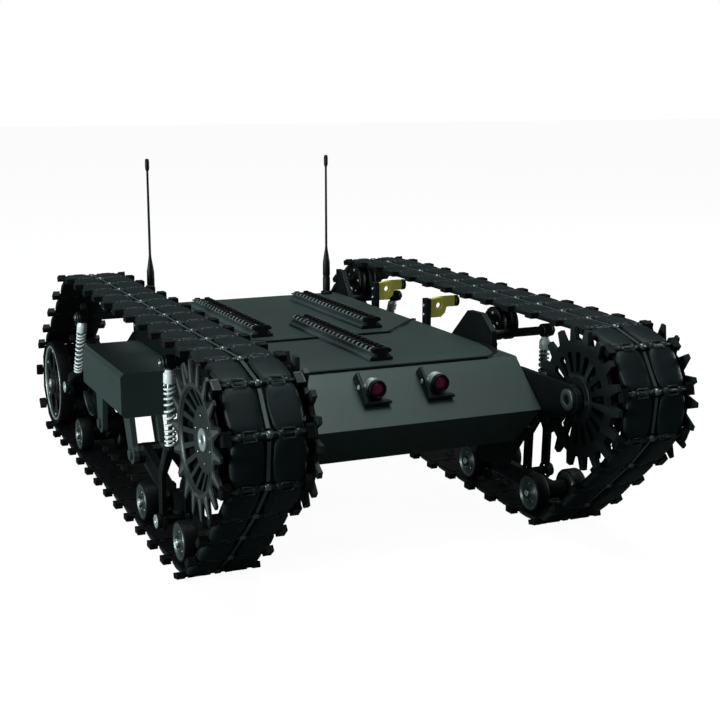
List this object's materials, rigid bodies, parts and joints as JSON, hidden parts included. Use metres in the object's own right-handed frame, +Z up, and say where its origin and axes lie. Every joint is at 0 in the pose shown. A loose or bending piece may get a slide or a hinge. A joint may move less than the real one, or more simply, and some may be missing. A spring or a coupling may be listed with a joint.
{
  "type": "tracked tank chassis",
  "caption": "Low armoured hull with lids and accessory rails, carried by sprung arms inside rubber-padded tracks, with drive sprockets at the nose and large idlers at the stern.",
  "frame": {"origin": "on the ground, midway between the tracks and midway along them", "axes": "+Z up; -Y towards the nose with the lamps and the drive sprockets; +Y towards the stern; +X towards the right-hand track as seen from the nose"},
  "size_m": [0.4472, 0.7809, 0.3438],
  "materials": {
    "hull_paint": "satin dark grey-green powder coat",
    "black_metal": "satin black anodised plate",
    "wheel_metal": "turned light grey rim with a black centre",
    "track_rubber": "matte black rubber pads on dark links",
    "rail_metal": "bead-blasted light grey",
    "strut_silver": "bright plated",
    "bare_steel": "brushed",
    "yellow_paint": "satin straw yellow",
    "black_plastic": "matte black",
    "red_lens": "clear magenta-red lens"
  },
  "bodies": {
    "hull": {"hull_shell": "hull_paint", "front_lid": "hull_paint", "rear_lid": "hull_paint", "rail_middle": "rail_metal", "rail_left": "rail_metal", "rail_right": "rail_metal", "lamp_bracket_left": "black_metal", "drive_motor_left": "bare_steel", "antenna_left": "black_plastic", "side_frame_left": "black_metal", "side_pod_left": "hull_paint", "track_left": "track_rubber", "guide_arm_front_left": "yellow_paint", "guide_arm_rear_left": "yellow_paint", "lamp_bracket_right": "black_metal", "drive_motor_right": "bare_steel", "antenna_right": "black_plastic", "side_frame_right": "black_metal", "side_pod_right": "hull_paint", "track_right": "track_rubber", "guide_arm_front_right": "yellow_paint", "guide_arm_rear_right": "yellow_paint"},
    "lamp_left": {"lamp_body_left": "bare_steel", "lamp_lens_left": "red_lens"},
    "sprocket_left": {"sprocket_left": "black_metal"},
    "idler_left": {"idler_left": "black_metal"},
    "corner_roller_left": {"corner_roller_left": "black_plastic"},
    "tower_roller_left": {"tower_roller_left": "black_plastic"},
    "guide_roller_front_left": {"guide_roller_front_left": "black_plastic"},
    "guide_roller_rear_left": {"guide_roller_rear_left": "black_plastic"},
    "front_arm_left": {"front_arm_left": "black_metal"},
    "rear_arm_left": {"rear_arm_left": "black_metal"},
    "road_wheel_front_left": {"road_wheel_front_left": "wheel_metal"},
    "road_wheel_middle_left": {"road_wheel_middle_left": "wheel_metal"},
    "road_wheel_rear_left": {"road_wheel_rear_left": "wheel_metal"},
    "strut_tube_front_left": {"strut_tube_front_left": "strut_silver", "spring_front_left": "strut_silver"},
    "strut_fork_front_left": {"strut_fork_front_left": "black_metal"},
    "strut_tube_rear_left": {"strut_tube_rear_left": "strut_silver", "spring_rear_left": "strut_silver"},
    "strut_fork_rear_left": {"strut_fork_rear_left": "black_metal"},
    "lamp_right": {"lamp_body_right": "bare_steel", "lamp_lens_right": "red_lens"},
    "sprocket_right": {"sprocket_right": "black_metal"},
    "idler_right": {"idler_right": "black_metal"},
    "corner_roller_right": {"corner_roller_right": "black_plastic"},
    "tower_roller_right": {"tower_roller_right": "black_plastic"},
    "guide_roller_front_right": {"guide_roller_front_right": "black_plastic"},
    "guide_roller_rear_right": {"guide_roller_rear_right": "black_plastic"},
    "front_arm_right": {"front_arm_right": "black_metal"},
    "rear_arm_right": {"rear_arm_right": "black_metal"},
    "road_wheel_front_right": {"road_wheel_front_right": "wheel_metal"},
    "road_wheel_middle_right": {"road_wheel_middle_right": "wheel_metal"},
    "road_wheel_rear_right": {"road_wheel_rear_right": "wheel_metal"},
    "strut_tube_front_right": {"strut_tube_front_right": "strut_silver", "spring_front_right": "strut_silver"},
    "strut_fork_front_right": {"strut_fork_front_right": "black_metal"},
    "strut_tube_rear_right": {"strut_tube_rear_right": "strut_silver", "spring_rear_right": "strut_silver"},
    "strut_fork_rear_right": {"strut_fork_rear_right": "black_metal"}
  },
  "joints": [
    {"name": "lamp_tilt_left", "type": "hinge", "parent": "hull", "child": "lamp_left", "pos_m": [-0.032, -0.25, 0.159], "axis": [1, 0, 0], "range_deg": [-5, 5]},
    {"name": "sprocket_spin_left", "type": "hinge", "parent": "hull", "child": "sprocket_left", "pos_m": [-0.182, -0.325, 0.147], "axis": [1, 0, 0], "continuous": true},
    {"name": "idler_spin_left", "type": "hinge", "parent": "hull", "child": "idler_left", "pos_m": [-0.182, 0.33, 0.06], "axis": [1, 0, 0], "continuous": true},
    {"name": "corner_roller_spin_left", "type": "hinge", "parent": "hull", "child": "corner_roller_left", "pos_m": [-0.161, 0.208, 0.185], "axis": [1, 0, 0], "continuous": true},
    {"name": "tower_roller_spin_left", "type": "hinge", "parent": "hull", "child": "tower_roller_left", "pos_m": [-0.161, -0.146, 0.187], "axis": [1, 0, 0], "continuous": true},
    {"name": "guide_roller_front_spin_left", "type": "hinge", "parent": "hull", "child": "guide_roller_front_left", "pos_m": [-0.1684, -0.0319, 0.1933], "axis": [1, 0, 0], "continuous": true},
    {"name": "guide_roller_rear_spin_left", "type": "hinge", "parent": "hull", "child": "guide_roller_rear_left", "pos_m": [-0.1684, 0.1037, 0.1933], "axis": [1, 0, 0], "continuous": true},
    {"name": "front_arm_swing_left", "type": "hinge", "parent": "hull", "child": "front_arm_left", "pos_m": [-0.178, 0.005, 0.048], "axis": [-1, 0, 0], "range_deg": [0, 6], "stiffness_Nm_per_rad": 40},
    {"name": "rear_arm_swing_left", "type": "hinge", "parent": "hull", "child": "rear_arm_left", "pos_m": [-0.178, 0.1465, 0.0486], "axis": [1, 0, 0], "range_deg": [0, 6], "stiffness_Nm_per_rad": 40},
    {"name": "road_wheel_front_spin_left", "type": "hinge", "parent": "front_arm_left", "child": "road_wheel_front_left", "pos_m": [-0.181, -0.222, 0.0265], "axis": [1, 0, 0], "continuous": true},
    {"name": "road_wheel_middle_spin_left", "type": "hinge", "parent": "front_arm_left", "child": "road_wheel_middle_left", "pos_m": [-0.181, -0.0928, 0.0265], "axis": [1, 0, 0], "continuous": true},
    {"name": "road_wheel_rear_spin_left", "type": "hinge", "parent": "rear_arm_left", "child": "road_wheel_rear_left", "pos_m": [-0.181, 0.1904, 0.0265], "axis": [1, 0, 0], "continuous": true},
    {"name": "strut_front_tilt_left", "type": "hinge", "parent": "hull", "child": "strut_tube_front_left", "pos_m": [-0.1995, -0.1705, 0.1805], "axis": [1, 0, 0], "range_deg": [-0.3, 0.1]},
    {"name": "strut_front_travel_left", "type": "slide", "parent": "strut_tube_front_left", "child": "strut_fork_front_left", "axis": [0, -0.046, 0.9989], "range_m": [0, 0.0179], "deforming": ["spring_front_left"]},
    {"name": "strut_rear_tilt_left", "type": "hinge", "parent": "hull", "child": "strut_tube_rear_left", "pos_m": [-0.1995, 0.192, 0.165], "axis": [1, 0, 0], "range_deg": [-0.1, 1]},
    {"name": "strut_rear_travel_left", "type": "slide", "parent": "strut_tube_rear_left", "child": "strut_fork_rear_left", "axis": [0, -0.4511, 0.8924], "range_m": [0, 0.01], "deforming": ["spring_rear_left"]},
    {"name": "lamp_tilt_right", "type": "hinge", "parent": "hull", "child": "lamp_right", "pos_m": [0.032, -0.25, 0.159], "axis": [1, 0, 0], "range_deg": [-5, 5]},
    {"name": "sprocket_spin_right", "type": "hinge", "parent": "hull", "child": "sprocket_right", "pos_m": [0.182, -0.325, 0.147], "axis": [1, 0, 0], "continuous": true},
    {"name": "idler_spin_right", "type": "hinge", "parent": "hull", "child": "idler_right", "pos_m": [0.182, 0.33, 0.06], "axis": [1, 0, 0], "continuous": true},
    {"name": "corner_roller_spin_right", "type": "hinge", "parent": "hull", "child": "corner_roller_right", "pos_m": [0.161, 0.208, 0.185], "axis": [1, 0, 0], "continuous": true},
    {"name": "tower_roller_spin_right", "type": "hinge", "parent": "hull", "child": "tower_roller_right", "pos_m": [0.161, -0.146, 0.187], "axis": [1, 0, 0], "continuous": true},
    {"name": "guide_roller_front_spin_right", "type": "hinge", "parent": "hull", "child": "guide_roller_front_right", "pos_m": [0.1684, -0.0319, 0.1933], "axis": [1, 0, 0], "continuous": true},
    {"name": "guide_roller_rear_spin_right", "type": "hinge", "parent": "hull", "child": "guide_roller_rear_right", "pos_m": [0.1684, 0.1037, 0.1933], "axis": [1, 0, 0], "continuous": true},
    {"name": "front_arm_swing_right", "type": "hinge", "parent": "hull", "child": "front_arm_right", "pos_m": [0.178, 0.005, 0.048], "axis": [-1, 0, 0], "range_deg": [0, 6], "stiffness_Nm_per_rad": 40},
    {"name": "rear_arm_swing_right", "type": "hinge", "parent": "hull", "child": "rear_arm_right", "pos_m": [0.178, 0.1465, 0.0486], "axis": [1, 0, 0], "range_deg": [0, 6], "stiffness_Nm_per_rad": 40},
    {"name": "road_wheel_front_spin_right", "type": "hinge", "parent": "front_arm_right", "child": "road_wheel_front_right", "pos_m": [0.181, -0.222, 0.0265], "axis": [1, 0, 0], "continuous": true},
    {"name": "road_wheel_middle_spin_right", "type": "hinge", "parent": "front_arm_right", "child": "road_wheel_middle_right", "pos_m": [0.181, -0.0928, 0.0265], "axis": [1, 0, 0], "continuous": true},
    {"name": "road_wheel_rear_spin_right", "type": "hinge", "parent": "rear_arm_right", "child": "road_wheel_rear_right", "pos_m": [0.181, 0.1904, 0.0265], "axis": [1, 0, 0], "continuous": true},
    {"name": "strut_front_tilt_right", "type": "hinge", "parent": "hull", "child": "strut_tube_front_right", "pos_m": [0.1995, -0.1705, 0.1805], "axis": [1, 0, 0], "range_deg": [-0.3, 0.1]},
    {"name": "strut_front_travel_right", "type": "slide", "parent": "strut_tube_front_right", "child": "strut_fork_front_right", "axis": [0, -0.046, 0.9989], "range_m": [0, 0.0179], "deforming": ["spring_front_right"]},
    {"name": "strut_rear_tilt_right", "type": "hinge", "parent": "hull", "child": "strut_tube_rear_right", "pos_m": [0.1995, 0.192, 0.165], "axis": [1, 0, 0], "range_deg": [-0.1, 1]},
    {"name": "strut_rear_travel_right", "type": "slide", "parent": "strut_tube_rear_right", "child": "strut_fork_rear_right", "axis": [0, -0.4511, 0.8924], "range_m": [0, 0.01], "deforming": ["spring_rear_right"]}
  ],
  "couplings": [
    {"joint": "strut_front_tilt_left", "follows": "front_arm_swing_left", "ratio": -0.0213},
    {"joint": "strut_front_travel_left", "follows": "front_arm_swing_left", "m_per_rad": 0.1695},
    {"joint": "strut_rear_tilt_left", "follows": "rear_arm_swing_left", "ratio": 0.1487},
    {"joint": "strut_rear_travel_left", "follows": "rear_arm_swing_left", "m_per_rad": 0.09378},
    {"joint": "idler_spin_left", "follows": "sprocket_spin_left", "ratio": 1.0943},
    {"joint": "corner_roller_spin_left", "follows": "sprocket_spin_left", "ratio": 2.6977},
    {"joint": "tower_roller_spin_left", "follows": "sprocket_spin_left", "ratio": 3.3143},
    {"joint": "road_wheel_front_spin_left", "follows": "sprocket_spin_left", "ratio": 3.0526},
    {"joint": "road_wheel_middle_spin_left", "follows": "sprocket_spin_left", "ratio": 3.0526},
    {"joint": "road_wheel_rear_spin_left", "follows": "sprocket_spin_left", "ratio": 3.0526},
    {"joint": "strut_front_tilt_right", "follows": "front_arm_swing_right", "ratio": -0.0213},
    {"joint": "strut_front_travel_right", "follows": "front_arm_swing_right", "m_per_rad": 0.1695},
    {"joint": "strut_rear_tilt_right", "follows": "rear_arm_swing_right", "ratio": 0.1487},
    {"joint": "strut_rear_travel_right", "follows": "rear_arm_swing_right", "m_per_rad": 0.09378},
    {"joint": "idler_spin_right", "follows": "sprocket_spin_right", "ratio": 1.0943},
    {"joint": "corner_roller_spin_right", "follows": "sprocket_spin_right", "ratio": 2.6977},
    {"joint": "tower_roller_spin_right", "follows": "sprocket_spin_right", "ratio": 3.3143},
    {"joint": "road_wheel_front_spin_right", "follows": "sprocket_spin_right", "ratio": 3.0526},
    {"joint": "road_wheel_middle_spin_right", "follows": "sprocket_spin_right", "ratio": 3.0526},
    {"joint": "road_wheel_rear_spin_right", "follows": "sprocket_spin_right", "ratio": 3.0526}
  ]
}
